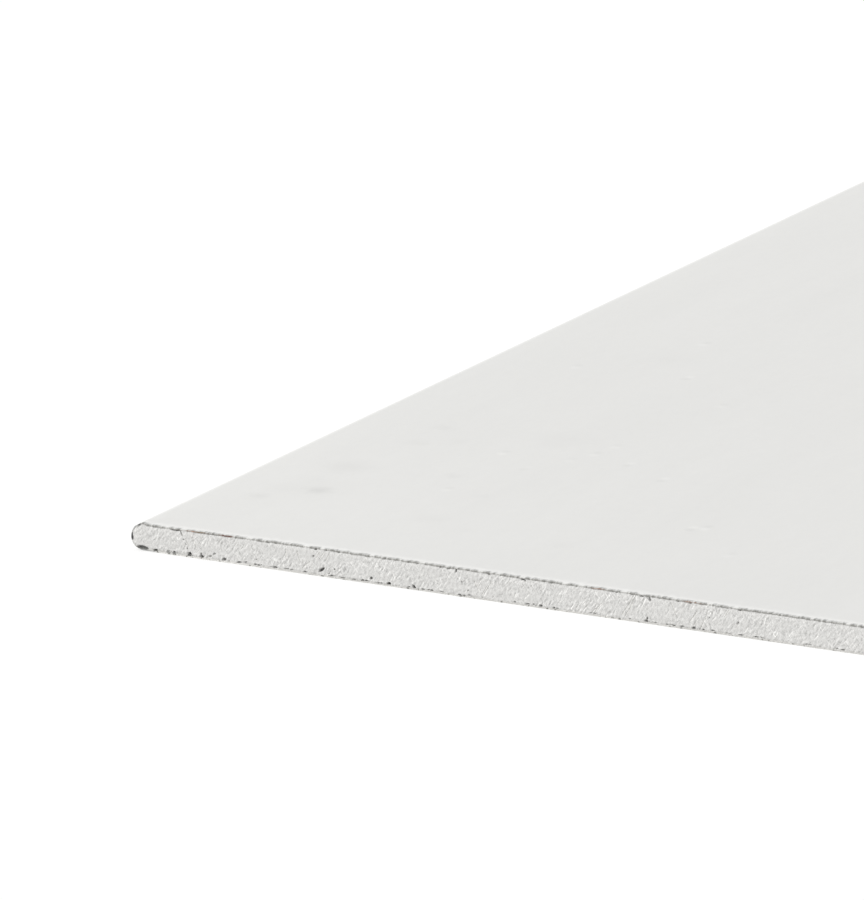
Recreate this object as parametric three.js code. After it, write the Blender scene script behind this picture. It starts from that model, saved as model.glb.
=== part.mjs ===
// Drywall sheet: a gypsum core cast between two liner papers, lying face up.
//
// The face paper covers the face, wraps round both half-round long edges and folds onto the back.
// The back paper covers the back and laps over the two folds. The ends are cut square, so the core
// and the cut edges of both papers show there. The face is tapered along both long edges, where the
// joint with the next sheet is filled.
//
// Millimetres. X runs across the sheet, Y along it and +Z out of its face. The origin is the centre
// of the back, on the surface that the sheet lies on.

import * as THREE from "three";

// The sheet
const SHEET_LENGTH = 2400;
const SHEET_WIDTH = 1200;
const SHEET_THICKNESS = 12.5;

// The papers
const FACE_PAPER_THICKNESS = 0.5;
const BACK_PAPER_THICKNESS = 0.5;

// The long edges, with each width measured inwards from where the one before it ends
const NOSE_HEIGHT = 5.6; // outermost line of the rounding, above the back
const FACE_ROUND_WIDTH = 5; // side of the sheet to the top of the rounding
const TAPER_WIDTH = 75; // top of the rounding to the flat of the face
const TAPER_DEPTH = 0.6; // drop of the face at the top of the rounding
const BACK_ROUND_WIDTH = 5; // side of the sheet to the bottom of the rounding
const BACK_PAPER_MARGIN = 7; // bottom of the rounding to the edge of the back paper
const FOLD_OVERLAP = 18; // edge of the back paper to the edge of the folded face paper

// Flats in each quarter of a rounding
const QUARTER_STEPS = 10;

// Derived sizes
const halfWidth = SHEET_WIDTH / 2;
const foldUnderside = BACK_PAPER_THICKNESS;
const edgeTop = SHEET_THICKNESS - TAPER_DEPTH;
const upperRise = edgeTop - NOSE_HEIGHT;
const lowerDrop = NOSE_HEIGHT - foldUnderside;
const flatHalfWidth = halfWidth - FACE_ROUND_WIDTH - TAPER_WIDTH;
const backPaperHalfWidth = halfWidth - BACK_ROUND_WIDTH - BACK_PAPER_MARGIN;
const foldHalfWidth = backPaperHalfWidth - FOLD_OVERLAP;

const facePaper = new THREE.MeshStandardMaterial({ color: 0xe5e5e3, roughness: 0.85, metalness: 0 });
const gypsum = new THREE.MeshStandardMaterial({ color: 0xd9d8d5, roughness: 0.95, metalness: 0 });
const backPaper = new THREE.MeshStandardMaterial({ color: 0xa89f92, roughness: 0.9, metalness: 0 });

// A long edge's half-round outline from the face down to the back, on the +X side, at a depth below
// the paper's outer surface. Its upper and lower quarters are ellipses that meet at the nose.
function roundedSide(depth) {
  const points = [];
  for (let i = -QUARTER_STEPS; i <= QUARTER_STEPS; i++) {
    const angle = (-i / QUARTER_STEPS) * (Math.PI / 2);
    const reach = i < 0 ? FACE_ROUND_WIDTH : BACK_ROUND_WIDTH;
    const height = i < 0 ? upperRise : lowerDrop;
    const outwards = new THREE.Vector2(Math.cos(angle) / reach, Math.sin(angle) / height).normalize();
    const surface = new THREE.Vector2(
      halfWidth - reach * (1 - Math.cos(angle)),
      NOSE_HEIGHT + height * Math.sin(angle),
    );
    points.push(surface.addScaledVector(outwards, -depth));
  }
  return points;
}

// The path that the face paper follows at a depth below its outer surface: from the fold on the -X
// side, over the face, to the fold on the +X side.
function wrapPath(depth) {
  const rightHalf = [
    new THREE.Vector2(flatHalfWidth, SHEET_THICKNESS - depth),
    ...roundedSide(depth),
    new THREE.Vector2(foldHalfWidth, foldUnderside + depth),
  ];
  const leftHalf = rightHalf.map(({ x, y }) => new THREE.Vector2(-x, y)).reverse();
  return [...leftHalf, ...rightHalf];
}

// A cross-section in X and Z, run along the whole length of the sheet.
function fullLength(name, outline, material) {
  const geometry = new THREE.ExtrudeGeometry(new THREE.Shape(outline), {
    depth: SHEET_LENGTH,
    bevelEnabled: false,
  });
  const mesh = new THREE.Mesh(geometry, material);
  mesh.name = name;
  mesh.rotation.x = Math.PI / 2;
  mesh.position.y = SHEET_LENGTH / 2;
  return mesh;
}

// Fills the face paper's wrap, and reaches down to the back paper between the folds.
function makeGypsumCore() {
  const backFlat = [
    new THREE.Vector2(foldHalfWidth, BACK_PAPER_THICKNESS),
    new THREE.Vector2(-foldHalfWidth, BACK_PAPER_THICKNESS),
  ];
  return fullLength("gypsum_core", [...wrapPath(FACE_PAPER_THICKNESS), ...backFlat], gypsum);
}

function makeFacePaper() {
  const outside = wrapPath(0);
  const inside = wrapPath(FACE_PAPER_THICKNESS).reverse();
  return fullLength("face_paper", [...outside, ...inside], facePaper);
}

function makeBackPaper() {
  const outline = [
    new THREE.Vector2(-backPaperHalfWidth, 0),
    new THREE.Vector2(backPaperHalfWidth, 0),
    new THREE.Vector2(backPaperHalfWidth, BACK_PAPER_THICKNESS),
    new THREE.Vector2(-backPaperHalfWidth, BACK_PAPER_THICKNESS),
  ];
  return fullLength("back_paper", outline, backPaper);
}

const drywallSheet = new THREE.Group();
drywallSheet.add(makeGypsumCore(), makeFacePaper(), makeBackPaper());

export default drywallSheet;
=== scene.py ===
"""The looks of a drywall sheet that lies face up on a white floor.

Three pieces stand for the three solids: the gypsum core with its rough cut ends, the face paper
that wraps the long edges, and the back paper. Lengths are millimetres in the frame of the solids,
with X across the sheet, Y along it and Z out of its face. They turn into metres with MM.
"""

import math

import bmesh
import bpy
import numpy as np
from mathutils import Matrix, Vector, kdtree, noise
from mathutils.geometry import delaunay_2d_cdt


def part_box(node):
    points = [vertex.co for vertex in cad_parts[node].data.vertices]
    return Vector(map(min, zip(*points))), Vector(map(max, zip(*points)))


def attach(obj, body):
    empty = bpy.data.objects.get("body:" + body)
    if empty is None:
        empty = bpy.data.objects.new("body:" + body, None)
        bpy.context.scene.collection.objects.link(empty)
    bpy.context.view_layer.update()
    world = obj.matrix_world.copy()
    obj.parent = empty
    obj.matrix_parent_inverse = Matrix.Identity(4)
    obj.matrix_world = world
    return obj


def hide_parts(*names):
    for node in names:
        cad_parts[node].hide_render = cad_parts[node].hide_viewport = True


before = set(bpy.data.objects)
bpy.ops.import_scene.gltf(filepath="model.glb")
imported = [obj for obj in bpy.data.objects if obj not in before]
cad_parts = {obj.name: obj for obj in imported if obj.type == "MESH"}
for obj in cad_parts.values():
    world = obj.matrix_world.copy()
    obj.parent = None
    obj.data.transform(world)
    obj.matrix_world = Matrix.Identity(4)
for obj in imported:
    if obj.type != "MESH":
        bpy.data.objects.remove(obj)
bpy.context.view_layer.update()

MM = 0.001

# ---- The sheet, from the frame ----


def millimetre_box(node):
    low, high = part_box(node)
    return low / MM, high / MM


PAPER_LOW, PAPER_HIGH = millimetre_box("face_paper")
CORE_LOW, CORE_HIGH = millimetre_box("gypsum_core")
BACK_LOW, BACK_HIGH = millimetre_box("back_paper")

HALF_WIDTH = PAPER_HIGH.x
HALF_LENGTH = PAPER_HIGH.y
FACE_HEIGHT = PAPER_HIGH.z
FACE_PAPER_THICKNESS = PAPER_HIGH.z - CORE_HIGH.z
BACK_PAPER_THICKNESS = BACK_HIGH.z - BACK_LOW.z
BACK_PAPER_HALF_WIDTH = BACK_HIGH.x
FOLD_UNDERSIDE = CORE_LOW.z

# The long edges, as the solids have them
NOSE_HEIGHT = 5.6  # outermost line of the rounding, above the back
ROUND_WIDTH = 5.0  # side of the sheet to the top or bottom of the rounding
TAPER_WIDTH = 75.0  # top of the rounding to the flat of the face
TAPER_DEPTH = 0.6  # drop of the face at the top of the rounding
FOLD_OVERLAP = 18.0  # edge of the back paper to the edge of the folded face paper

EDGE_TOP = FACE_HEIGHT - TAPER_DEPTH
FLAT_HALF_WIDTH = HALF_WIDTH - ROUND_WIDTH - TAPER_WIDTH
FOLD_HALF_WIDTH = BACK_PAPER_HALF_WIDTH - FOLD_OVERLAP

QUARTER_STEPS = 24  # flats in each quarter of a rounding

# ---- The camera, set from the corner where the cut end meets the left long edge ----

IMAGE_WIDTH = 864
IMAGE_HEIGHT = 900
CORNER_PIXEL = (131.1, 534.8)
CORNER = Vector((-HALF_WIDTH, -HALF_LENGTH, FACE_HEIGHT / 2))
CORNER_DEPTH = 4094.3  # along the line of sight
CAMERA_AZIMUTH = math.radians(28.04)
CAMERA_ELEVATION = math.radians(14.95)
LENS = 380.0
SENSOR = 36.0  # on the image's long side

# ---- The cut ends ----

NEAR = -1  # end of the sheet, along Y
FAR = 1
CLOSE_UP = 350.0  # stretch of the near end that the camera sees, from the left long edge
CLOSE_UP_END = CLOSE_UP - HALF_WIDTH

# Pits in the close-up: from the left side, above the back, half length, half height, tilt in
# degrees, depth
PITS = [
    (0.7, 5.1, 0.45, 1.5, 0, 0.5),
    (5.7, 1.3, 3.1, 1.0, -6, 1.0),
    (12.1, 1.1, 1.0, 0.4, 0, 0.8),
    (18.4, 1.3, 1.1, 0.45, 5, 0.4),
    (21.3, 1.3, 0.85, 0.55, 0, 0.6),
    (28.8, 1.45, 1.1, 0.85, 0, 1.5),
    (34.8, 1.0, 1.1, 0.8, 0, 1.2),
    (34.5, 2.0, 0.5, 0.9, 0, 0.9),
    (41.1, 3.0, 0.85, 0.6, 30, 0.5),
    (38.9, 1.7, 1.4, 0.35, 12, 0.5),
    (45.8, 1.2, 1.1, 0.85, 0, 1.2),
    (53.2, 0.9, 1.4, 0.4, 8, 0.9),
    (56.3, 1.3, 1.0, 0.35, 15, 0.7),
    (61.6, 3.2, 0.7, 0.4, 45, 0.4),
    (70.8, 0.9, 1.3, 0.55, 5, 0.8),
    (89.4, 8.4, 0.7, 0.6, 40, 0.5),
    (93.4, 2.8, 1.9, 0.8, 40, 1.2),
    (97.0, 1.6, 0.8, 0.4, 25, 0.5),
    (98.1, 0.6, 0.9, 0.45, 0, 0.7),
    (99.8, 3.9, 0.5, 0.5, 0, 0.5),
    (103.5, 0.6, 1.4, 0.35, 0, 0.6),
    (109.0, 0.5, 1.0, 0.5, 8, 1.1),
    (113.3, 0.6, 0.85, 0.8, 30, 1.1),
    (117.5, 2.3, 0.8, 0.8, 0, 0.9),
    (121.5, 0.6, 1.3, 0.35, 0, 0.6),
    (125.9, 0.9, 1.1, 0.85, 20, 1.6),
    (138.1, 1.2, 1.4, 0.7, -50, 1.0),
    (142.6, 0.7, 0.9, 0.4, 0, 0.7),
    (146.7, 0.7, 0.8, 0.5, 0, 0.9),
    (160.0, 0.6, 0.9, 0.45, 0, 0.9),
    (161.1, 6.4, 0.6, 0.6, 0, 0.5),
    (162.1, 0.5, 1.0, 0.4, 0, 0.8),
    (164.1, 3.1, 0.7, 0.4, 45, 0.5),
    (186.3, 1.1, 0.6, 0.5, 0, 0.3),
    (192.0, 0.8, 0.6, 0.45, 0, 0.35),
    (195.4, 1.2, 0.6, 0.5, 0, 0.8),
    (198.7, 1.0, 0.8, 0.75, 0, 0.9),
    (205.0, 0.6, 0.7, 0.5, 0, 0.4),
    (248.5, 1.0, 1.1, 0.7, 0, 1.0),
    (249.0, 2.2, 0.5, 0.8, 0, 0.9),
    (261.7, 0.7, 0.8, 0.45, 0, 0.7),
    (270.7, 0.9, 0.95, 0.75, 0, 0.85),
    (275.3, 0.8, 0.6, 0.45, 0, 0.6),
    (278.1, 6.3, 0.6, 0.5, 60, 0.35),
    (291.4, 5.7, 1.1, 0.7, 60, 0.45),
    (21.9, 11.5, 2.6, 0.9, 8, 1.5),
    (25.8, 7.4, 0.5, 0.45, 0, 0.5),
    (27.0, 5.6, 0.25, 1.1, 28, 0.15),
    (27.8, 3.6, 0.35, 0.9, 25, 0.3),
    (46.9, 11.6, 3.0, 0.5, 0, 0.3),
    (90.5, 11.5, 0.9, 0.4, 0, 0.9),
    (150.9, 11.7, 0.8, 0.5, 0, 0.9),
    (154.6, 11.6, 1.1, 0.7, 0, 0.5),
    (158.3, 11.0, 0.5, 1.0, -15, 0.8),
    (174.0, 11.6, 0.6, 0.45, 0, 0.8),
    (190.0, 11.5, 1.1, 0.8, 0, 1.5),
    (191.2, 11.0, 0.8, 0.35, -35, 0.9),
    (234.5, 11.7, 0.5, 0.5, 0, 0.8),
    (246.4, 11.7, 1.2, 0.6, 0, 1.2),
    (250.2, 10.6, 1.2, 0.45, -65, 0.9),
    (263.4, 11.7, 0.6, 0.5, 0, 0.9),
    (269.0, 11.7, 0.9, 0.6, 0, 0.8),
    (292.0, 11.6, 0.9, 0.6, 0, 1.1),
]
# Long scratches in the close-up: both ends of each, from the left side and above the back
SCRATCHES = [
    (26.9, 7.8, 28.6, 5.0),
    (30.2, 8.6, 31.9, 5.4),
    (55.6, 8.9, 54.2, 6.8),
    (76.0, 9.6, 76.3, 6.4),
    (81.6, 9.4, 82.8, 5.6),
    (87.5, 5.6, 84.2, 2.6),
    (92.4, 10.2, 90.8, 7.6),
    (94.7, 10.8, 92.5, 7.4),
    (97.4, 10.8, 95.5, 7.2),
    (167.0, 7.6, 169.6, 3.4),
    (170.6, 9.0, 168.7, 6.0),
    (173.2, 6.2, 170.8, 2.2),
    (175.2, 8.2, 172.0, 2.8),
    (227.6, 5.8, 222.8, 1.2),
    (226.0, 4.0, 224.4, 1.4),
    (242.8, 11.3, 237.1, 2.2),
    (241.4, 6.4, 238.6, 1.9),
    (243.6, 11.2, 241.4, 6.8),
    (272.2, 8.4, 268.8, 3.2),
    (273.0, 5.6, 271.2, 2.6),
    (277.2, 8.0, 274.0, 1.6),
    (287.0, 10.8, 285.2, 7.6),
    (260.2, 10.4, 263.4, 4.5),
]
# Cracks, as the scratches
CRACKS = [(24.4, 10.9, 25.0, 9.2), (248.8, 11.1, 250.0, 10.0)]
CRACK_DEPTH = 0.6
SCRATCH_WIDTH = 0.6
SCRATCH_DEPTH = 0.4
STROKE_ANGLE = 57.0  # of the saw marks in degrees, above the line of the end

# How badly the face paper is torn, on average and more or less than that
TORN_SHARE = 0.68
TORN_SWING = 0.55
# Clean gaps in its torn cut: the size of the waves that make them, the height that a wave must
# pass, how much more makes the gap whole, and the share of the tear that it takes
CLEAN_SIZE = 4.0
CLEAN_FROM = 0.2
CLEAN_BLEND = 0.3
CLEAN_SHARE = 0.85

# What is scattered over both ends. ROOM is what each has along the end, FROM is how far from the
# sides it stays, and pairs are ranges. Pores, chips and long scratches leave out the close-up.
PORE_ROOM = 9.0
PORES_FROM = 6.0
PORE_PLACES = (2, 11)  # above the back
PORE_SIZES = (0.25, 0.5)
PORE_SHAPES = (0.5, 1)  # height as a share of the size
NICK_ROOM = 7.0  # along the back paper
NICKS_FROM = 60.0
NICK_PLACES = (0.8, 1.1)
NICK_LENGTHS = (0.4, 1.5)
NICK_HEIGHTS = (0.2, 0.35)
NICK_DEPTHS = (0.3, 0.7)
CHIP_ROOM = 16.0
CHIPS_FROM = 12.0
CHIP_PLACES = (0.8, 2.2)
CHIP_LENGTHS = (0.5, 1.5)
CHIP_HEIGHTS = (0.35, 1.0)
CHIP_TILTS = (-20, 20)  # degrees
CHIP_DEPTHS = (0.6, 1.5)
STROKE_ROOM = 3.0
STROKES_FROM = 8.0
STROKE_PLACES = (1.2, 11.3)
STROKE_LENGTHS = (1, 2.8)
STROKE_DEPTHS = (0.08, 0.2)
STROKE_TURNS = (-9, 9)  # degrees from the saw marks
STROKES_ACROSS = 0.25  # share of them that lean the other way
LONG_SCRATCH_ROOM = 45.0
LONG_SCRATCH_LENGTHS = (4, 9)

CUT_RECESS = 0.22  # core behind the cut line, on average
LEAST_RECESS = 0.02
WAVE_DEPTH = 0.1
WAVE_SIZE = (26, 9)  # along and up the end
RIDGE_DEPTH = 0.17  # of the saw marks
RIDGE_WIDTH = 0.75
RIDGE_LENGTH = 2.3
GRAIN_DEPTH = 0.1
GRAIN_SIZE = 1.1
PIT_WALL = 0.45  # from a pit's edge to its floor, as a share of its size
FACE_CRUMBLE = (0.6, 0.75)  # depth and width of what has crumbled away beside the face paper
BACK_CRUMBLE = (0.2, 0.6)  # and beside the back paper
# Painted shade: how much darker the colour is painted in cracks, the crumbled strip and pits
CRACK_SHADE = 0.5  # as a share of a deep pit's
CRUMBLE_SHADE = 0.25  # of the face paper's crumbled side, as a share of a deep pit's
SHALLOW_SHADE = 0.25  # of a pit without depth
SHADE_GAIN = 0.5  # more for each millimetre of its depth
POWDER_RIM = 1.1  # from the papers to the palest part of the core beside them

# The paper's corner is pushed up beside each rounding
HUMP_PLACE = 5.7  # from the side
HUMP_WIDTH = 1.2
HUMP_LENGTH = 30.0  # along the long edge
HUMP_HEIGHTS = {(NEAR, -1): 0.58, (NEAR, 1): 0.3, (FAR, -1): 0.4, (FAR, 1): 0.25}

# The papers beside the cut
LIP_DROP = 0.05  # of the face, at the cut
LIP_WIDTH = 0.7
SWAY_DROP = 0.3  # most that the face is pressed in
SWAY_WIDTH = 3.0
FRAY = 0.11  # of the cut, back from the cut line
FRAY_WIDTH = 1.5

# Steps between points of the core's cut ends, in the close-up and elsewhere
CUT_STEPS = {NEAR: (0.45, 1.0), FAR: (1.2, 1.2)}
LOOSENESS = 0.22  # of a step, at random
LEAST_STEP = 0.55  # of a step, from the outline, pits and scratches
CLEARANCE = 0.05  # of the points from the top and bottom
PIT_RINGS = (0, 0.5, 0.85, 1.1)  # points in and round a pit, as shares of its size
PIT_RING_STEP = 0.35
SCRATCH_STEP = 0.4
SCRATCH_SIDE = 0.55  # points beside a scratch, as a share of its width
SAME_PLACE = 1e-6  # points this close become one


def placed(name, data):
    """A new object in the scene."""
    thing = bpy.data.objects.new(name, data)
    bpy.context.scene.collection.objects.link(thing)
    return thing


def gentle(value):
    """Eases a value from 0 to 1 in and out, and keeps it between them."""
    value = np.clip(value, 0, 1)
    return value * value * (3 - 2 * value)


def wander(x, z, seed):
    """Smooth noise between about -1 and 1, for each place."""
    return 1.6 * np.array([noise.noise(Vector((a, b, seed))) for a, b in zip(x, z)])


def waves(x, size, seed, row=0):
    """Smooth noise along an end, whose waves have that size. Each row has waves of its own."""
    return wander(x / size, x * 0 + row, seed)


def tear(x, end):
    """How badly the cut tore the face paper and the core below it at each place across an end,
    from 0 to 1. It is bad along most of the cut, with short clean stretches between."""
    rough = waves(x, 1.9, end + 40) + 0.9 * waves(x, 0.8, end + 50)
    clean = gentle((waves(x, CLEAN_SIZE, end + 70) - CLEAN_FROM) / CLEAN_BLEND)
    return np.clip(TORN_SHARE + TORN_SWING * rough, 0, 1) * (1 - CLEAN_SHARE * clean)


# ---- Sections across the sheet ----


def rounded_side(depth):
    """The rounding at +X from the face down to the back, at a depth below the paper's outside."""
    points = []
    for i in range(-QUARTER_STEPS, QUARTER_STEPS + 1):
        angle = -i / QUARTER_STEPS * math.pi / 2
        height = EDGE_TOP - NOSE_HEIGHT if i < 0 else NOSE_HEIGHT - FOLD_UNDERSIDE
        outwards = Vector((math.cos(angle) / ROUND_WIDTH, math.sin(angle) / height)).normalized()
        x = HALF_WIDTH - ROUND_WIDTH * (1 - math.cos(angle))
        z = NOSE_HEIGHT + height * math.sin(angle)
        points.append((x - depth * outwards.x, z - depth * outwards.y))
    return points


def wrap_path(depth):
    """The stretches of the face paper's path at a depth below its outside, from the fold at -X
    over the face to the fold at +X."""
    top = FACE_HEIGHT - depth
    under = FOLD_UNDERSIDE + depth
    right = rounded_side(depth)
    left = [(-x, z) for x, z in reversed(right)]
    return [
        [(-FOLD_HALF_WIDTH, under), left[0]],
        left,
        [left[-1], (-FLAT_HALF_WIDTH, top)],
        [(-FLAT_HALF_WIDTH, top), (CLOSE_UP_END, top)],
        [(CLOSE_UP_END, top), (FLAT_HALF_WIDTH, top)],
        [(FLAT_HALF_WIDTH, top), right[0]],
        right,
        [right[-1], (FOLD_HALF_WIDTH, under)],
    ]


def core_path(depth):
    """The stretches round the core: the inside of the wrap, then the back from +X to -X."""
    wrap = wrap_path(FACE_PAPER_THICKNESS + depth)
    back = BACK_PAPER_THICKNESS
    return [
        *wrap,
        [wrap[-1][-1], (FOLD_HALF_WIDTH, back)],
        [(FOLD_HALF_WIDTH, back), (CLOSE_UP_END, back)],
        [(CLOSE_UP_END, back), (-FOLD_HALF_WIDTH, back)],
        [(-FOLD_HALF_WIDTH, back), wrap[0][0]],
    ]


def back_path(depth):
    """The stretches of the back paper's path, at a depth above its underside."""
    return [
        [(-BACK_PAPER_HALF_WIDTH, depth), (CLOSE_UP_END, depth)],
        [(CLOSE_UP_END, depth), (BACK_PAPER_HALF_WIDTH, depth)],
    ]


def section_points(path, depth, places):
    """X and Z at the places on a path. A place is the number of its stretch plus how much of
    that stretch lies before it."""
    knots, corners = [], []
    for number, stretch in enumerate(path(depth)):
        knots.extend(number + np.linspace(0, 1, len(stretch)))
        corners.extend(stretch)
    x, z = np.transpose(corners)
    return np.interp(places, knots, x), np.interp(places, knots, z)


def lengths(path, places):
    """How far along a path its places are, in millimetres."""
    ends = [np.hypot(*np.diff(stretch, axis=0).T).sum() for stretch in path(0)]
    return np.interp(places, range(len(ends) + 1), np.cumsum([0, *ends]))


def spread(path, close_up_step, step, round_step=0.6):
    """Places along a path, with the steps between them shorter in the close-up."""
    places = []
    stretches = path(0)
    for number, stretch in enumerate(stretches):
        in_close_up = max(x for x, _ in stretch) <= CLOSE_UP_END
        largest = close_up_step if in_close_up else step
        if len(stretch) > 2:
            largest = min(largest, round_step)
        length = np.hypot(*np.diff(stretch, axis=0).T).sum()
        count = math.ceil(length / largest)
        places.extend(number + np.arange(count) / count)
    return np.array([*places, len(stretches)])


def pressed(x, z, inset, end):
    """The heights of points of the sheet near an end, once the cut has pushed its face about."""
    level = np.clip((z - NOSE_HEIGHT) / (EDGE_TOP - NOSE_HEIGHT), 0, 1)
    sway = 0.4 + 0.5 * waves(x, 3.6, end) + 0.4 * waves(x, 1.2, end + 60)
    drop = SWAY_DROP * np.clip(sway, 0, 1) * gentle(1 - inset / SWAY_WIDTH)
    height = np.where(x < 0, HUMP_HEIGHTS[end, -1], HUMP_HEIGHTS[end, 1])
    across = (HALF_WIDTH - np.abs(x) - HUMP_PLACE) / HUMP_WIDTH
    hump = np.exp(-across * across)
    rise = hump * height * gentle(1 - inset / HUMP_LENGTH) - (1 - hump) * drop
    return z + rise * level


# ---- Pieces made of rows of points ----

SKIN = 0  # material of the papers' outsides, and of the core
CUT = 1  # material of the papers' cut edges

# The patches of the pieces' surfaces: their material, and how many pixels a millimetre along
# and across them has on the pieces' flat map
PATCHES = {
    "near_end": (SKIN, 5.8, 5.8),
    "far_end": (SKIN, 3.3, 3.3),
    "core_side": (SKIN, 0.4, 0.1),
    "near_skin": (SKIN, 3.9, 4.0),
    "near_cut": (CUT, 3.9, 12.0),
    "near_gap": (CUT, 2.0, 6.0),
    "far_skin": (SKIN, 2.3, 2.0),
    "far_cut": (CUT, 2.3, 12.0),
    "far_gap": (CUT, 2.0, 6.0),
    "left_edge": (CUT, 0.41, 12.0),
    "right_edge": (CUT, 0.41, 12.0),
    "outside": (SKIN, 0.78, 0.17),
    "inside": (SKIN, 0.78, 0.04),
}
MAP_NAME = "OFBake"
MAP_SIZE = 1024  # pixels each way
MAP_MARGIN = 12  # pixels beside a strip, for the triangles that reach out of it
MAP_GAP = 3  # pixels between strips


def laid(numbers, along, across):
    """A row of corners: the numbers of its points, each with its place along and across a patch."""
    return [(number, place, across) for number, place in zip(numbers, along)]


class Shell:
    """The points of one piece, and the triangles between them as their three corners."""

    def __init__(self, *marks):
        self.points = []
        self.marks = {name: [] for name in marks}
        self.triangles = []
        self.patches = []

    def add(self, x, y, z, **marks):
        """Adds points, each with its marks, and gives their numbers."""
        first = len(self.points)
        self.points.extend(zip(x, y, z))
        for name, values in self.marks.items():
            values.extend(np.broadcast_to(marks.get(name, 0.0), len(x)))
        return np.arange(first, len(self.points))

    def fill(self, triangles, patch):
        self.triangles.extend(triangles)
        self.patches.extend([patch] * len(triangles))

    def zip_rows(self, row, other, patch):
        """Fills between two rows of corners that run the same way, whatever their spacings."""
        triangles = []
        i = j = 0
        while i + 1 < len(row) or j + 1 < len(other):
            after = row[i + 1][1] if i + 1 < len(row) else math.inf
            other_after = other[j + 1][1] if j + 1 < len(other) else math.inf
            if after <= other_after:
                triangles.append((row[i], row[i + 1], other[j]))
                i += 1
            else:
                triangles.append((row[i], other[j + 1], other[j]))
                j += 1
        self.fill(triangles, patch)

    def flat_map(self):
        """Where each corner is on the map. A patch is cut into strips as long as the map is
        wide, and the strips lie above each other."""
        places = np.array(self.triangles)[:, :, 1:]
        patches = np.array(self.patches)
        length = MAP_SIZE - 2 * MAP_MARGIN
        top = MAP_GAP
        for patch in dict.fromkeys(self.patches):
            pixels = places[patches == patch]
            pixels = (pixels - pixels.min(axis=(0, 1))) * PATCHES[patch][1:]
            strip = pixels[:, :, 0].mean(axis=1, keepdims=True) // length
            height = pixels[:, :, 1].max() + MAP_GAP
            pixels[:, :, 0] += MAP_MARGIN - strip * length
            pixels[:, :, 1] += top + strip * height
            places[patches == patch] = pixels
            top += (strip.max() + 1) * height
        return places / (MAP_SIZE, max(top, MAP_SIZE))

    def piece(self, name, node, slot, looks):
        mesh = bpy.data.meshes.new(name)
        numbers = np.array(self.triangles)[:, :, 0].astype(int)
        mesh.from_pydata(np.array(self.points) * MM, [], numbers.tolist())
        for look in looks:
            mesh.materials.append(look)
        materials = [PATCHES[patch][0] for patch in self.patches]
        mesh.polygons.foreach_set("material_index", materials)
        mesh.uv_layers.new(name=MAP_NAME).data.foreach_set("uv", self.flat_map().ravel())
        for mark, values in self.marks.items():
            mesh.attributes.new(mark, "FLOAT", "POINT").data.foreach_set("value", values)
        turned = bmesh.new()
        turned.from_mesh(mesh)
        bmesh.ops.recalc_face_normals(turned, faces=turned.faces)
        turned.to_mesh(mesh)
        turned.free()
        mesh.shade_smooth()
        mesh.set_sharp_from_angle(angle=math.radians(40))
        piece = placed(name, mesh)
        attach(piece, "root")
        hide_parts(node)
        return piece


# Rows of the papers near an end: inset from it, and the steps between points in the close-up
# and elsewhere
PAPER_ROWS = [
    (0.0, 0.3, 0.8),
    (0.35, 0.3, 0.8),
    (0.8, 0.5, 1.2),
    (1.7, 1.0, 2.4),
    (4.0, 2.5, 5.0),
    (12.0, 6.0, 10.0),
    (30.0, 15.0, 20.0),
]
SKIN_BANDS = 5  # bands between those rows whose outsides are finer on the map
GAP_BANDS = 3  # and where gaps in the core show the papers' insides
CORE_ROWS = [(5.0, 3.0, 6.0), (30.0, 15.0, 20.0)]
MIDDLE_STEP = 100.0  # between rows along the rest of the sheet
MIDDLE_SPACING = 30.0
MIDDLE_PLIES = [1 / 3, 2 / 3]  # rows of a paper's cut edge between its outside and its inside


def stations(end_rows):
    """Every row along the sheet: its end, inset from that end, and steps between its points."""
    reach = end_rows[-1][0]
    count = math.ceil((HALF_LENGTH - reach) / MIDDLE_STEP)
    middle = [
        (reach + (HALF_LENGTH - reach) * i / count, MIDDLE_SPACING, MIDDLE_SPACING)
        for i in range(1, count + 1)
    ]
    near = [(NEAR, *row) for row in end_rows + middle]
    far = [(FAR, inset, step, step) for inset, _, step in end_rows + middle[:-1]]
    return near + far[::-1]


def fray(x, ply, end):
    """How far back from the cut line a paper's cut edge is."""
    ragged = waves(x, 1.4, end + 20, ply * 0.5) + 0.7 * waves(x, 0.5, end + 30, ply)
    return FRAY * np.clip(1 + 0.7 * ragged, 0, 3)


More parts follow.
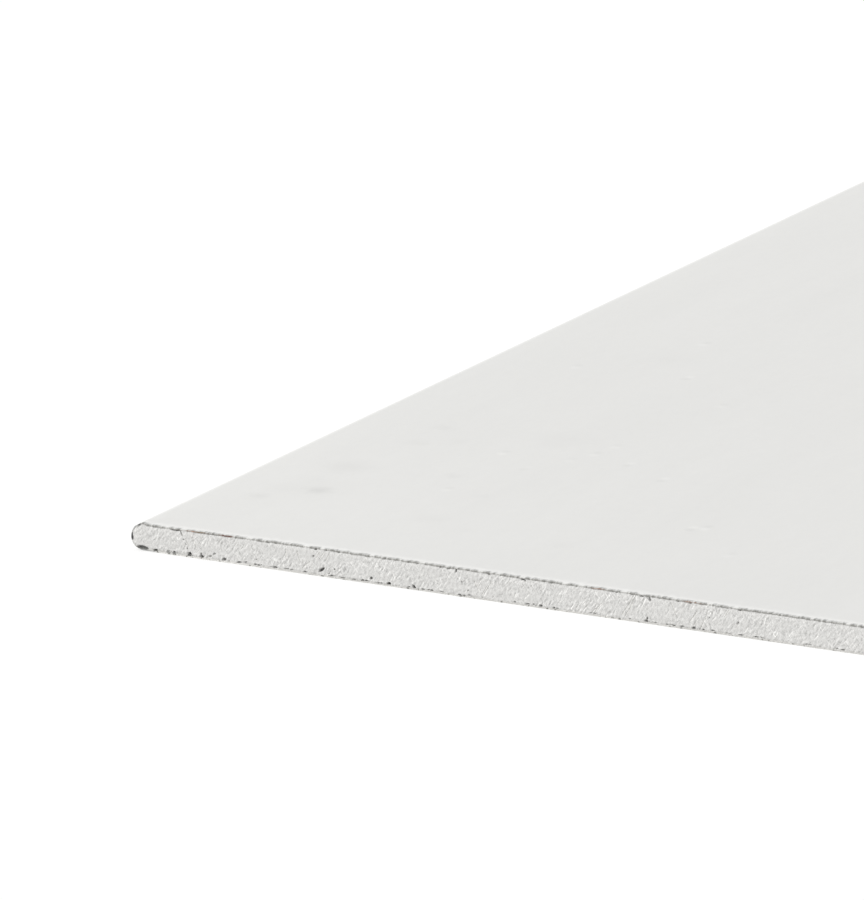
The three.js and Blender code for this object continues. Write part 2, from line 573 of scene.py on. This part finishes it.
def make_paper(name, node, path, thickness, looks):
    """A paper bonded to the core, with a frayed cut edge at both ends."""
    shell = Shell("torn")
    outside, inside = [], []
    for end, inset, close_up_step, step in stations(PAPER_ROWS):
        places = spread(path, close_up_step, step)
        along = lengths(path, places)
        across = end * (HALF_LENGTH - inset)
        plies = [0, *MIDDLE_PLIES, 1] if inset == 0 else [0, 1]
        rows = []
        for ply in plies:
            x, z = section_points(path, ply * thickness, places)
            lip = (1 - ply) * LIP_DROP * gentle(1 - inset / LIP_WIDTH)
            z = pressed(x, z, inset, end) - lip * (z > NOSE_HEIGHT)
            y = HALF_LENGTH - inset - fray(x, ply, end) * gentle(1 - inset / FRAY_WIDTH)
            rows.append(shell.add(x, end * y, z, torn=tear(x, end)))
        outside.append(laid(rows[0], along, across))
        inside.append(laid(rows[-1], along, across))
        if inset == 0:
            cut = [laid(row, along, ply * thickness) for row, ply in zip(rows, plies)]
            for row, following in zip(cut, cut[1:]):
                shell.zip_rows(row, following, "near_cut" if end == NEAR else "far_cut")
    bands = len(outside) - 1
    for band in range(bands):
        from_end = min(band, bands - 1 - band)
        half = "near" if band < bands / 2 else "far"
        patch = f"{half}_skin" if from_end < SKIN_BANDS else "outside"
        shell.zip_rows(outside[band], outside[band + 1], patch)
        patch = f"{half}_gap" if from_end < GAP_BANDS else "inside"
        shell.zip_rows(inside[band], inside[band + 1], patch)
    # These strips skip the cut's middle plies, which leaves a slit under 0.1 mm wide at each end
    for side, patch in ((0, "left_edge"), (-1, "right_edge")):
        edges = [
            [(row[side][0], row[side][2], depth) for row in rows]
            for rows, depth in ((outside, 0), (inside, thickness))
        ]
        shell.zip_rows(*edges, patch)
    return shell.piece(name, node, node, looks)


# ---- The core, with its cut ends ----


def scattered_marks(end, rng):
    """The pits and scratches of one end: those of the close-up as listed, the rest at random."""
    pits, scratches = [], []
    bare_from = -HALF_WIDTH
    if end == NEAR:
        bare_from = CLOSE_UP_END
        pits = [(a - HALF_WIDTH, *rest) for a, *rest in PITS]
        for listed, depth in ((SCRATCHES, SCRATCH_DEPTH), (CRACKS, CRACK_DEPTH)):
            scratches += [(a - HALF_WIDTH, b, c - HALF_WIDTH, d, depth) for a, b, c, d in listed]
    draw = rng.uniform
    for _ in range(int((HALF_WIDTH - bare_from) / PORE_ROOM)):
        x = draw(bare_from, HALF_WIDTH - PORES_FROM)
        size = draw(*PORE_SIZES)
        place = draw(*PORE_PLACES)
        pits.append((x, place, size, size * draw(*PORE_SHAPES), draw(0, 180), size))
    for _ in range(int(2 * HALF_WIDTH / NICK_ROOM)):
        x = draw(-HALF_WIDTH + NICKS_FROM, HALF_WIDTH - NICKS_FROM)
        length = draw(*NICK_LENGTHS)
        place = draw(*NICK_PLACES)
        pits.append((x, place, length, draw(*NICK_HEIGHTS), 0, draw(*NICK_DEPTHS)))
    for _ in range(int((HALF_WIDTH - bare_from) / CHIP_ROOM)):
        x = draw(bare_from, HALF_WIDTH - CHIPS_FROM)
        length = draw(*CHIP_LENGTHS)
        height = draw(*CHIP_HEIGHTS)
        place = draw(*CHIP_PLACES)
        pits.append((x, place, length, height, draw(*CHIP_TILTS), draw(*CHIP_DEPTHS)))
    for _ in range(int(2 * HALF_WIDTH / STROKE_ROOM)):
        length = draw(*STROKE_LENGTHS)
        scratches.append(stroke(rng, STROKES_FROM - HALF_WIDTH, length, draw(*STROKE_DEPTHS)))
    for _ in range(int((HALF_WIDTH - bare_from) / LONG_SCRATCH_ROOM)):
        scratches.append(stroke(rng, bare_from, draw(*LONG_SCRATCH_LENGTHS), SCRATCH_DEPTH))
    return pits, scratches


def stroke(rng, start, length, depth):
    """A scratch of that length somewhere between a start and the +X side, most of them leaning
    the way of the saw marks."""
    angle = math.radians(STROKE_ANGLE + rng.uniform(*STROKE_TURNS))
    if rng.random() < STROKES_ACROSS:
        angle = math.pi - angle
    along, up = math.cos(angle) * length / 2, math.sin(angle) * length / 2
    low, high = STROKE_PLACES
    x = rng.uniform(start, HALF_WIDTH - STROKES_FROM)
    z = rng.uniform(low + up, high - up)
    return x - along, z - up, x + along, z + up, depth


def pit_share(pit, x, z):
    """How much of a pit's depth each place has."""
    centre_x, centre_z, length, height, tilt, _ = pit
    turn = math.radians(tilt)
    u = ((x - centre_x) * math.cos(turn) + (z - centre_z) * math.sin(turn)) / length
    v = ((z - centre_z) * math.cos(turn) - (x - centre_x) * math.sin(turn)) / height
    return gentle((1 - np.hypot(u, v)) / PIT_WALL)


def scratch_share(scratch, x, z):
    """How much of a scratch's depth each place has."""
    from_x, from_z, to_x, to_z, _ = scratch
    run_x, run_z = to_x - from_x, to_z - from_z
    reach = ((x - from_x) * run_x + (z - from_z) * run_z) / (run_x**2 + run_z**2)
    reach = np.clip(reach, 0, 1)
    distance = np.hypot(x - from_x - reach * run_x, z - from_z - reach * run_z)
    return gentle(1 - distance / (SCRATCH_WIDTH / 2))


def mark_places(pits, scratches):
    """Points that each pit and scratch needs so that its shape shows."""
    places = []
    for x, z, length, height, tilt, _ in pits:
        turn = math.radians(tilt)
        for radius in PIT_RINGS:
            count = max(1, round(2 * math.pi * radius * max(length, height) / PIT_RING_STEP))
            for i in range(count):
                angle = 2 * math.pi * i / count
                u, v = radius * length * math.cos(angle), radius * height * math.sin(angle)
                places.append((
                    x + u * math.cos(turn) - v * math.sin(turn),
                    z + u * math.sin(turn) + v * math.cos(turn),
                ))
    for from_x, from_z, to_x, to_z, _ in scratches:
        run_x, run_z = to_x - from_x, to_z - from_z
        length = math.hypot(run_x, run_z)
        aside = [run / length * SCRATCH_WIDTH * SCRATCH_SIDE for run in (-run_z, run_x)]
        for share in np.linspace(0, 1, math.ceil(length / SCRATCH_STEP) + 1):
            x, z = from_x + share * run_x, from_z + share * run_z
            places.extend((x + i * aside[0], z + i * aside[1]) for i in (-1, 0, 1))
    return np.array(places)


class CutEnd:
    """The rough surface of one end of the core."""

    def __init__(self, end):
        self.end = end
        self.rng = np.random.default_rng(7 + end)
        self.pits, self.scratches = scattered_marks(end, self.rng)

    def depth_and_marks(self, x, z, edge_distance):
        """How far behind the cut line each place is, and what the material needs to know of it:
        how much painted shade it gets in the pits, cracks and crumbled strip beside the face paper,
        how far inside a scratch it is, how high on a ridge and how near to the papers."""
        ridges = self.ridges(x, z)
        along, up = WAVE_SIZE
        depth = CUT_RECESS + WAVE_DEPTH * wander(x / along, z / up, self.end + 3)
        depth -= RIDGE_DEPTH * ridges
        depth -= GRAIN_DEPTH * wander(x / GRAIN_SIZE, z / GRAIN_SIZE, self.end + 8)
        above = z > NOSE_HEIGHT
        crumble_depth, crumble_width = np.where(above[:, None], FACE_CRUMBLE, BACK_CRUMBLE).T
        crumble = tear(x, self.end) * gentle((HALF_WIDTH - np.abs(x)) / ROUND_WIDTH)
        crumble *= gentle(1 - edge_distance / crumble_width)
        depth += crumble * crumble_depth
        rim = gentle(1 - np.abs(edge_distance - POWDER_RIM) / POWDER_RIM)
        # Painted shade: the crumbled strip, the pits and the cracks are painted darker, pits more
        # as they are deeper
        painted_shade = CRUMBLE_SHADE * crumble * above
        scratched = np.zeros(len(x))
        for pit in self.pits:
            near = np.flatnonzero(np.abs(x - pit[0]) < max(pit[2], pit[3]))
            share = pit_share(pit, x[near], z[near])
            depth[near] += share * pit[-1]
            shade = min(1, SHALLOW_SHADE + SHADE_GAIN * pit[-1])
            painted_shade[near] = np.maximum(painted_shade[near], share * shade)
        for scratch in self.scratches:
            middle, reach = (scratch[0] + scratch[2]) / 2, abs(scratch[2] - scratch[0]) / 2 + 1
            near = np.flatnonzero(np.abs(x - middle) < reach)
            share = scratch_share(scratch, x[near], z[near])
            depth[near] += share * scratch[-1]
            cracked = scratch[-1] == CRACK_DEPTH
            mark, most = (painted_shade, CRACK_SHADE) if cracked else (scratched, 1)
            mark[near] = np.maximum(mark[near], share * most)
        marks = {"painted_shade": painted_shade, "scratched": scratched, "ridge": ridges, "rim": rim}
        return np.maximum(depth, LEAST_RECESS), marks

    def ridges(self, x, z):
        """Leaning saw marks from about -1 to 1, fainter in places and crossed in others."""
        fields = []
        for angle in (STROKE_ANGLE, 180 - STROKE_ANGLE):
            turn = math.radians(angle)
            along = x * math.cos(turn) + z * math.sin(turn)
            across = z * math.cos(turn) - x * math.sin(turn)
            fields.append(wander(across / RIDGE_WIDTH, along / RIDGE_LENGTH, self.end + angle))
        crossed = gentle(1.6 * wander(x / 13, z / 8, self.end + 14))
        strength = 0.35 + gentle(0.5 + wander(x / 8, z / 6, self.end + 17))
        return strength * (fields[0] * (1 - crossed) + fields[1] * crossed)

    def inner_places(self, outline, close_up_step, step):
        """Points inside an outline: those of the marks, and a loose grid between them."""
        marks = mark_places(self.pits, self.scratches)
        marks = marks[is_inside(outline, marks, CLEARANCE)]
        fixed = nearest_finder(np.concatenate([outline, marks]))
        low, high = outline.min(axis=0), outline.max(axis=0)
        places = [marks]
        stretches = ((low[0], CLOSE_UP_END, close_up_step), (CLOSE_UP_END, high[0], step))
        for start, stop, gap in stretches:
            columns = np.arange(start, stop, gap)
            rows = np.arange(low[1], high[1], gap * math.sqrt(3) / 2)
            x, z = np.meshgrid(columns, rows)
            x[1::2] += gap / 2
            loose = self.rng.uniform(-LOOSENESS * gap, LOOSENESS * gap, (2, *x.shape))
            grid = np.column_stack([(x + loose[0]).ravel(), (z + loose[1]).ravel()])
            grid = grid[is_inside(outline, grid, CLEARANCE)]
            places.append(grid[fixed(grid) > gap * LEAST_STEP])
        return np.concatenate(places)


def is_inside(outline, places, margin):
    """Which places lie that far above the bottom and below the top of a section's outline."""
    first, last = np.argmin(outline[:, 0]), np.argmax(outline[:, 0])
    top = outline[first : last + 1]
    bottom = np.concatenate([outline[last:], outline[: first + 1]])[::-1]
    below_top = places[:, 1] < np.interp(places[:, 0], *top.T) - margin
    above_bottom = places[:, 1] > np.interp(places[:, 0], *bottom.T) + margin
    return below_top & above_bottom


def nearest_finder(points):
    """A function that gives how far each place is from the nearest of the points."""
    tree = kdtree.KDTree(len(points))
    for number, (x, z) in enumerate(points):
        tree.insert((x, z, 0), number)
    tree.balance()
    return lambda places: np.array([tree.find((x, z, 0))[2] for x, z in places])


def closed(numbers):
    """The points of a ring, with the first once more at the end."""
    return np.append(numbers, numbers[0])


def make_core(look):
    shell = Shell("painted_shade", "scratched", "ridge", "rim")
    rings = []
    for end, inset, close_up_step, step in stations(CORE_ROWS):
        places = spread(core_path, close_up_step, step)
        x, z = section_points(core_path, 0, places[:-1])
        y = end * (HALF_LENGTH - inset)
        numbers = shell.add(x, np.full(len(x), y), pressed(x, z, inset, end))
        rings.append(laid(closed(numbers), lengths(core_path, places), y))
    for ring, following in zip(rings, rings[1:]):
        shell.zip_rows(ring, following, "core_side")
    for end, ring, patch in ((NEAR, rings[0], "near_end"), (FAR, rings[-1], "far_end")):
        cut = CutEnd(end)
        steps = CUT_STEPS[end]
        places = spread(core_path, *steps)
        x, z = section_points(core_path, 0, places[:-1])
        outline = np.column_stack([x, pressed(x, z, 0, end)])
        whole = list(range(len(outline)))
        flat = [Vector(place) for place in (*outline, *cut.inner_places(outline, *steps))]
        flat, _, triangles, *_ = delaunay_2d_cdt(flat, [], [whole], 1, SAME_PLACE, False)
        surface = np.array([tuple(place) for place in flat])
        triangles = np.array(triangles)
        triangles = triangles[is_inside(outline, surface[triangles].mean(axis=1), 0)]
        x, z = surface.T
        depth, marks = cut.depth_and_marks(x, z, nearest_finder(outline)(surface))
        numbers = shell.add(x, end * (HALF_LENGTH - depth), z, **marks)
        shell.fill(np.column_stack([numbers, surface])[triangles].tolist(), patch)
        border = closed(numbers[: len(outline)])
        along = lengths(core_path, places)
        shell.zip_rows(laid(border, along, end * HALF_LENGTH), ring, "core_side")
    return shell.piece("core_with_cut_ends", "gypsum_core", "gypsum", [look])


# ---- Materials ----


class NodeTree:
    """The nodes of a material or of the sky."""

    def __init__(self, owner):
        owner.use_nodes = True
        self.nodes = owner.node_tree.nodes
        self.links = owner.node_tree.links

    def put(self, socket, value):
        """Gives a socket a value of its own, or links another socket to it."""
        if isinstance(value, bpy.types.NodeSocket):
            self.links.new(value, socket)
        else:
            socket.default_value = value

    def math(self, operation, *values):
        node = self.nodes.new("ShaderNodeMath")
        node.operation = operation
        for socket, value in zip(node.inputs, values):
            self.put(socket, value)
        return node.outputs[0]

    def times(self, value, other):
        return self.math("MULTIPLY", value, other)


class Look(NodeTree):
    """One material made of nodes, whose patterns are placed in millimetres of the sheet."""

    def __init__(self, name, roughness, specular):
        self.material = bpy.data.materials.new(name)
        super().__init__(self.material)
        self.nodes.clear()
        self.shader = self.nodes.new("ShaderNodeBsdfPrincipled")
        self.shader.inputs["Roughness"].default_value = roughness
        self.shader.inputs["Specular IOR Level"].default_value = specular
        output = self.nodes.new("ShaderNodeOutputMaterial")
        self.links.new(self.shader.outputs["BSDF"], output.inputs["Surface"])
        place = self.nodes.new("ShaderNodeTexCoord").outputs["Object"]
        self.place = self.scaled(place, 1 / MM)
        split = self.nodes.new("ShaderNodeSeparateXYZ")
        self.links.new(self.place, split.inputs[0])
        self.x, self.y, self.z = split.outputs

    def scaled(self, vector, factor):
        node = self.nodes.new("ShaderNodeVectorMath")
        node.operation = "SCALE"
        self.put(node.inputs["Vector"], vector)
        self.put(node.inputs["Scale"], factor)
        return node.outputs["Vector"]

    def distance_to(self, place):
        node = self.nodes.new("ShaderNodeVectorMath")
        node.operation = "DISTANCE"
        self.put(node.inputs[0], self.place)
        self.put(node.inputs[1], place)
        return node.outputs["Value"]

    def noise(self, size, detail=2.0, turn=0.0, shift=0.0):
        """Noise between 0 and 1 whose spots have that size along X, Y and Z, turned about Y."""
        mapping = self.nodes.new("ShaderNodeMapping")
        mapping.vector_type = "TEXTURE"
        self.put(mapping.inputs["Vector"], self.place)
        mapping.inputs["Location"].default_value = (shift, shift, shift)
        mapping.inputs["Rotation"].default_value = (0, -math.radians(turn), 0)
        mapping.inputs["Scale"].default_value = size
        node = self.nodes.new("ShaderNodeTexNoise")
        node.inputs["Scale"].default_value = 1.0
        node.inputs["Detail"].default_value = detail
        self.links.new(mapping.outputs["Vector"], node.inputs["Vector"])
        return node.outputs["Fac"]

    def between(self, value, low, high, to_low=0.0, to_high=1.0):
        """Eases from to_low to to_high as the value goes from low to high."""
        node = self.nodes.new("ShaderNodeMapRange")
        node.interpolation_type = "SMOOTHSTEP"
        names = ("Value", "From Min", "From Max", "To Min", "To Max")
        for name, number in zip(names, (value, low, high, to_low, to_high)):
            self.put(node.inputs[name], number)
        return node.outputs["Result"]

    def mark(self, name):
        node = self.nodes.new("ShaderNodeAttribute")
        node.attribute_name = name
        return node.outputs["Fac"]

    def blend(self, share, colour, other):
        """From one colour to another as the share goes from 0 to 1."""
        node = self.nodes.new("ShaderNodeMix")
        node.data_type = "RGBA"
        sockets = [socket for socket in node.inputs if socket.enabled]
        for socket, value in zip(sockets, (share, colour, other)):
            self.put(socket, (*value, 1) if isinstance(value, tuple) else value)
        return next(socket for socket in node.outputs if socket.enabled)

    def sum(self, *values):
        total = values[0]
        for value in values[1:]:
            total = self.math("ADD", total, value)
        return total

    def swing(self, pattern, amount):
        """A noise pattern as an amount more or less than nothing."""
        return self.times(self.math("SUBTRACT", pattern, 0.5), 2.8 * amount)

    def paint(self, colour, *changes):
        """Sets the colour, made lighter or darker by the changes, each a share of it."""
        level = self.sum(1.0, *changes)
        self.put(self.shader.inputs["Base Color"], self.scaled(colour, level))

    def relief(self, height, depth):
        """Bumps, with the millimetres that a height of 1 stands for."""
        node = self.nodes.new("ShaderNodeBump")
        node.inputs["Distance"].default_value = depth * MM
        self.put(node.inputs["Height"], height)
        self.links.new(node.outputs["Normal"], self.shader.inputs["Normal"])


IVORY = (0.757, 0.755, 0.739)
GYPSUM = (0.676, 0.67, 0.653)
GREY_BROWN = (0.36, 0.325, 0.27)

# Smudges on the face: from the left side and from the near end, radius, and how much darker.
# The first, wide and lighter, is painted light: the face lighter towards the near left corner.
SMUDGES_AND_PAINTED_LIGHT = [
    # painted light: the face painted lighter towards the near left corner
    (20, 20, 260, -0.02),
    (47, 83, 10, 0.1),
    (45, 86, 28, 0.018),
    (28, 63, 9, 0.06),
    (30, 79, 12, 0.02),
    (40, 124, 18, 0.045),
    (47, 174, 9, 0.04),
    (45, 203, 9, 0.045),
    (62, 184, 8, 0.035),
    (87, 131, 7, 0.045),
    (114, 107, 7, 0.03),
    (113, 64, 12, 0.025),
    (134, 54, 8, 0.02),
    (103, 208, 22, 0.02),
    (82, 359, 20, 0.015),
    (181, 52, 9, 0.025),
]
# Small bumps on the face, painted as light and shade: from the left side and from the near
# end, and how much lighter their painted light is. Each has as much painted shade on the side away
# from the near end.
PAINTED_BUMPS = [
    (89, 174, 0.04),
    (110, 155, -0.02),
    (126, 191, 0.035),
    (128, 207, 0.025),
    (121, 177, 0.02),
    (147, 182, -0.035),
    (172, 166, -0.04),
    (219, 100, -0.045),
    (224, 104, 0.045),
    (102, 330, -0.035),
    (81, 390, 0.035),
    (47, 326, 0.03),
    (138, 293, 0.025),
    (96, 108, 0.03),
    (252, 70, 0.025),
]
BUMP_SHADE_STEP = 4.5  # from the middle of a bump's painted light to the middle of its painted shade
# Stretches where the face paper's cut edge is browner, from the left side
BROWN_STRETCHES = [(25, 38), (43, 50), (222, 230), (265, 275)]
# Spots on that edge: from the left side, above the back, radius and colour. The dark grey ones
# are painted shade, beside the pits and in the gaps at the nose and under it; the others are
# paler or browner places of the plies.
CUT_SPOTS_AND_SHADE = [
    (1.6, 9.6, 3.6, (0.5, 0.5, 0.49)),
    (0.0, 5.3, 2.5, (0.08, 0.08, 0.082)),
    (0.9, 2.7, 1.7, (0.66, 0.66, 0.64)),
    (3.8, 11.5, 0.8, (0.12, 0.12, 0.12)),
    (5.4, 0.9, 3.3, (0.2, 0.2, 0.19)),
    (12.1, 0.75, 1.2, (0.14, 0.14, 0.13)),
    (18.5, 0.7, 1.1, (0.3, 0.3, 0.29)),
    (21.3, 0.7, 1.0, (0.25, 0.25, 0.24)),
    (28.8, 0.7, 1.1, (0.12, 0.12, 0.115)),
    (33.8, 12.2, 2.6, (0.27, 0.22, 0.17)),
    (47.2, 12.2, 3.2, (0.2, 0.12, 0.1)),
]
# Colours of the papers' cut edges: torn pulp, pulp stained brown, and what is smoothly cut
PULP = (0.26, 0.255, 0.235)
BROWN_PULP = (0.36, 0.22, 0.16)
CLEAN_CUT = (0.62, 0.615, 0.59)
BACK_CUT = (0.76, 0.75, 0.72)


def face_paper_look():
    """Smooth ivory paper, with fibres that run along the sheet and a few handling smudges, and
    painted light and shade: a lighter near corner, small painted bumps, and painted highlights
    beside the cut and on each rounding's shoulder.
    """
    look = Look("face_paper", roughness=0.8, specular=0.25)
    fibres = look.noise((0.45, 2.6, 0.45), detail=3)
    changes = [
        look.swing(fibres, 0.012),
        look.swing(look.noise((4, 9, 4)), 0.008),
        look.swing(look.noise((22, 80, 22)), 0.01),
        look.swing(look.noise((8, 600, 8)), 0.005),
        look.between(look.noise((0.8, 1.5, 0.8), detail=1, shift=50), 0.77, 0.82, 0, -0.09),
    ]
    outline = look.times(look.noise((5, 6, 5), shift=90), 8)
    for from_side, from_end, radius, darker in SMUDGES_AND_PAINTED_LIGHT:
        centre = (from_side - HALF_WIDTH, from_end - HALF_LENGTH, FACE_HEIGHT)
        distance = look.sum(look.distance_to(centre), outline)
        changes.append(look.between(distance, 2, radius + 4, -darker, 0))
    # each bump: painted light, and painted shade beside it
    for from_side, from_end, lighter in PAINTED_BUMPS:
        for aside, share in ((0, lighter), (BUMP_SHADE_STEP, -lighter)):
            centre = (from_side - HALF_WIDTH, from_end + aside - HALF_LENGTH, FACE_HEIGHT)
            changes.append(look.between(look.distance_to(centre), 0.5, 3.5, share, 0))
    from_end = look.math("SUBTRACT", HALF_LENGTH, look.math("ABSOLUTE", look.y))
    scuff_reach = look.sum(from_end, look.swing(look.noise((1.1, 20, 20), shift=70), 0.9))
    scuffed = look.times(look.mark("torn"), look.between(scuff_reach, 0.4, 2.6, 1, 0))
    changes.append(look.times(scuffed, -0.68))
    # Painted highlight: the face is painted lighter in a band a few millimetres wide beside the cut
    painted_band_reach = look.sum(from_end, look.times(look.noise((3, 4, 4), shift=20), 4))
    changes.append(look.between(painted_band_reach, 3, 8, 0.12, 0))
    # Painted highlight: the shoulder of each rounding, beside the long edges, is painted lighter
    from_side = look.math("SUBTRACT", HALF_WIDTH, look.math("ABSOLUTE", look.x))
    beside_edge = look.between(from_side, 3.5, 6.5, 1, 0)
    shoulder_highlight = look.times(beside_edge, look.between(look.z, 8.5, 11))
    changes.append(look.times(shoulder_highlight, 0.1))
    look.paint(IVORY, *changes)
    look.relief(look.sum(fibres, look.noise((0.25, 0.7, 0.25), shift=5)), 0.012)
    return look.material


def face_paper_cut_look():
    """The cut through the face paper's plies: dark pulp where it is torn, and pale between, with
    spots of painted shade beside pits and gaps.
    """
    look = Look("face_paper_cut", roughness=0.9, specular=0.15)
    fine = look.noise((0.5, 8, 0.2), detail=2, shift=30)
    brown = 0.0
    for start, stop in BROWN_STRETCHES:
        middle = (start + stop) / 2 - HALF_WIDTH
        from_middle = look.math("ABSOLUTE", look.math("SUBTRACT", look.x, middle))
        browned = look.between(from_middle, 0, (stop - start) / 1.6, 1, 0)
        brown = look.math("MAXIMUM", brown, browned)
    pulp = look.blend(brown, PULP, BROWN_PULP)
    torn = look.times(look.mark("torn"), look.between(look.z, 1.3, 2.5))
    colour = look.blend(torn, CLEAN_CUT, pulp)
    # spots on the cut edge, the dark grey ones painted shade
    for x, z, radius, spot in CUT_SPOTS_AND_SHADE:
        far = look.distance_to((x - HALF_WIDTH, -HALF_LENGTH, z))
        colour = look.blend(look.between(far, radius * 0.6, radius * 1.2, 1, 0), colour, spot)
    look.paint(colour, look.swing(fine, 0.45))
    look.relief(fine, 0.06)
    return look.material


def gypsum_look():
    """Sawn gypsum: leaning saw marks, specks of powder, and painted shade in the pits, cracks and
    crumbled strip.
    """
    look = Look("gypsum", roughness=0.92, specular=0.15)
    leaning = look.noise((2.1, 5, 0.58), detail=2, turn=STROKE_ANGLE)
    crossing = look.noise((1.8, 5, 0.58), detail=2, turn=-STROKE_ANGLE, shift=40)
    grain = look.noise((0.7, 2, 0.7), detail=3, shift=10)
    patches = look.between(look.noise((7, 20, 6), detail=1, shift=60), 0.35, 0.65, 0.45, 1.6)
    strokes = look.sum(
        look.swing(leaning, 0.18),
        look.swing(crossing, 0.155),
        look.swing(grain, 0.17),
    )
    look.paint(
        GYPSUM,
        look.times(strokes, patches),
        look.times(look.mark("ridge"), 0.1),
        look.swing(look.noise((9, 20, 6), shift=25), 0.02),
        look.between(look.z, 1, 4.5, -0.035, 0),
        # painted shade in the pits, cracks and crumbled strip
        look.times(look.mark("painted_shade"), -0.72),
        look.times(look.mark("scratched"), 0.3),
        look.times(look.mark("rim"), 0.05),
    )
    look.relief(look.sum(leaning, crossing, grain), 0.12)
    return look.material


def back_paper_look():
    """Grey-brown recycled paper, flecked with pale and dark fibres."""
    look = Look("back_paper", roughness=0.85, specular=0.2)
    fibres = look.noise((0.5, 2.4, 0.5), detail=3)
    look.paint(
        GREY_BROWN,
        look.swing(fibres, 0.06),
        look.swing(look.noise((3, 6, 3)), 0.03),
        look.swing(look.noise((30, 60, 30)), 0.02),
        look.between(look.noise((0.7, 1.6, 0.7), detail=1, shift=50), 0.72, 0.8, 0, -0.35),
        look.between(look.noise((0.6, 2.2, 0.6), detail=1, shift=80), 0.72, 0.8, 0, 0.35),
    )
    look.relief(fibres, 0.02)
    return look.material


def back_paper_cut_look():
    """The cut through the back paper's plies, pale with gypsum dust, with dark torn places."""
    look = Look("back_paper_cut", roughness=0.9, specular=0.15)
    torn = look.noise((1.8, 8, 1.8), detail=3, shift=15)
    fine = look.noise((0.5, 8, 0.2), detail=2, shift=35)
    colour = look.blend(look.between(torn, 0.35, 0.43), PULP, BACK_CUT)
    from_side = look.math("SUBTRACT", HALF_WIDTH, look.math("ABSOLUTE", look.x))
    look.paint(colour, look.swing(fine, 0.3), look.between(from_side, 30, 90, 0.05, -0.11))
    look.relief(fine, 0.06)
    return look.material


# ---- The floor, the light and the camera ----

FLOOR_HALF_WIDTH = 100000.0
FLOOR_GAP = 0.05  # below the sheet, so that the two faces don't coincide
FLOOR_LEVEL = 0.8
SKY_LEVEL = 0.63
SUN_STRENGTH = 2.1
SUN_SPREAD = math.radians(20)
SUN_FROM = Vector((-0.64, -0.49, 0.59))
TIGHT_GAP = 2.0  # light gets out from under the sheet over shorter ways than this


def white_when_seen(tree, level):
    """A light path, and a level of light or colour along it. It is 1 for what the camera, a
    reflection or glass sees, and the given level for what only lights things."""
    path = tree.nodes.new("ShaderNodeLightPath").outputs
    seen = path["Is Camera Ray"]
    for name in ("Is Glossy Ray", "Is Transmission Ray"):
        seen = tree.math("MAXIMUM", seen, path[name])
    node = tree.nodes.new("ShaderNodeMapRange")
    tree.put(node.inputs["Value"], seen)
    tree.put(node.inputs["To Min"], level)
    return path, node.outputs["Result"]


def make_floor():
    """A white floor without edges, which shows the sheet's shadow. It is clear from below."""
    material = bpy.data.materials.new("floor")
    tree = NodeTree(material)
    nodes = tree.nodes
    nodes.clear()
    path, colour = white_when_seen(tree, FLOOR_LEVEL)
    paint = nodes.new("ShaderNodeBsdfDiffuse")
    tree.put(paint.inputs["Color"], colour)
    short = tree.math("LESS_THAN", path["Ray Length"], TIGHT_GAP * MM)
    under = tree.times(short, path["Is Diffuse Ray"])
    from_below = nodes.new("ShaderNodeNewGeometry").outputs["Backfacing"]
    clear = nodes.new("ShaderNodeBsdfTransparent").outputs["BSDF"]
    either = nodes.new("ShaderNodeMixShader")
    shaders = (tree.math("MAXIMUM", from_below, under), paint.outputs["BSDF"], clear)
    for socket, value in zip(either.inputs, shaders):
        tree.put(socket, value)
    output = nodes.new("ShaderNodeOutputMaterial")
    tree.put(output.inputs["Surface"], either.outputs["Shader"])

    reach, height = FLOOR_HALF_WIDTH * MM, -FLOOR_GAP * MM
    mesh = bpy.data.meshes.new("floor")
    turns = ((-1, -1), (1, -1), (1, 1), (-1, 1))
    mesh.from_pydata([(i * reach, j * reach, height) for i, j in turns], [], [(0, 1, 2, 3)])
    mesh.materials.append(material)
    placed("floor", mesh)


def make_light():
    """An even white sky, and a soft sun from the left of the cut end."""
    world = bpy.data.worlds.new("sky")
    tree = NodeTree(world)
    background = tree.nodes["Background"]
    tree.put(background.inputs["Color"], (1, 1, 1, 1))
    tree.put(background.inputs["Strength"], white_when_seen(tree, SKY_LEVEL)[1])
    world.cycles.sampling_method = "NONE"
    bpy.context.scene.world = world
    lamp = bpy.data.lights.new("sun", "SUN")
    lamp.energy = SUN_STRENGTH
    lamp.angle = SUN_SPREAD
    sun = placed("sun", lamp)
    sun.rotation_mode = "QUATERNION"
    sun.rotation_quaternion = SUN_FROM.to_track_quat("Z", "Y")


def make_camera():
    """The view that puts the sheet's corner on its pixel."""
    lens = bpy.data.cameras.new("camera")
    lens.lens = LENS
    lens.sensor_width = SENSOR
    camera = placed("camera", lens)
    back = Vector((
        math.sin(CAMERA_AZIMUTH) * math.cos(CAMERA_ELEVATION),
        -math.cos(CAMERA_AZIMUTH) * math.cos(CAMERA_ELEVATION),
        math.sin(CAMERA_ELEVATION),
    ))
    right = Vector((math.cos(CAMERA_AZIMUTH), math.sin(CAMERA_AZIMUTH), 0))
    pixel = CORNER_DEPTH * SENSOR / LENS / max(IMAGE_WIDTH, IMAGE_HEIGHT)
    aside = (CORNER_PIXEL[0] - IMAGE_WIDTH / 2) * pixel
    below = (CORNER_PIXEL[1] - IMAGE_HEIGHT / 2) * pixel
    place = CORNER + back * CORNER_DEPTH - right * aside + back.cross(right) * below
    camera.location = place * MM
    camera.rotation_mode = "QUATERNION"
    camera.rotation_quaternion = back.to_track_quat("Z", "Y")
    bpy.context.scene.camera = camera


make_core(gypsum_look())
looks = [face_paper_look(), face_paper_cut_look()]
make_paper("face_paper_wrap", "face_paper", wrap_path, FACE_PAPER_THICKNESS, looks)
looks = [back_paper_look(), back_paper_cut_look()]
make_paper("back_paper_sheet", "back_paper", back_path, BACK_PAPER_THICKNESS, looks)
make_floor()
make_light()
make_camera()
bpy.context.scene.view_settings.view_transform = "Standard"
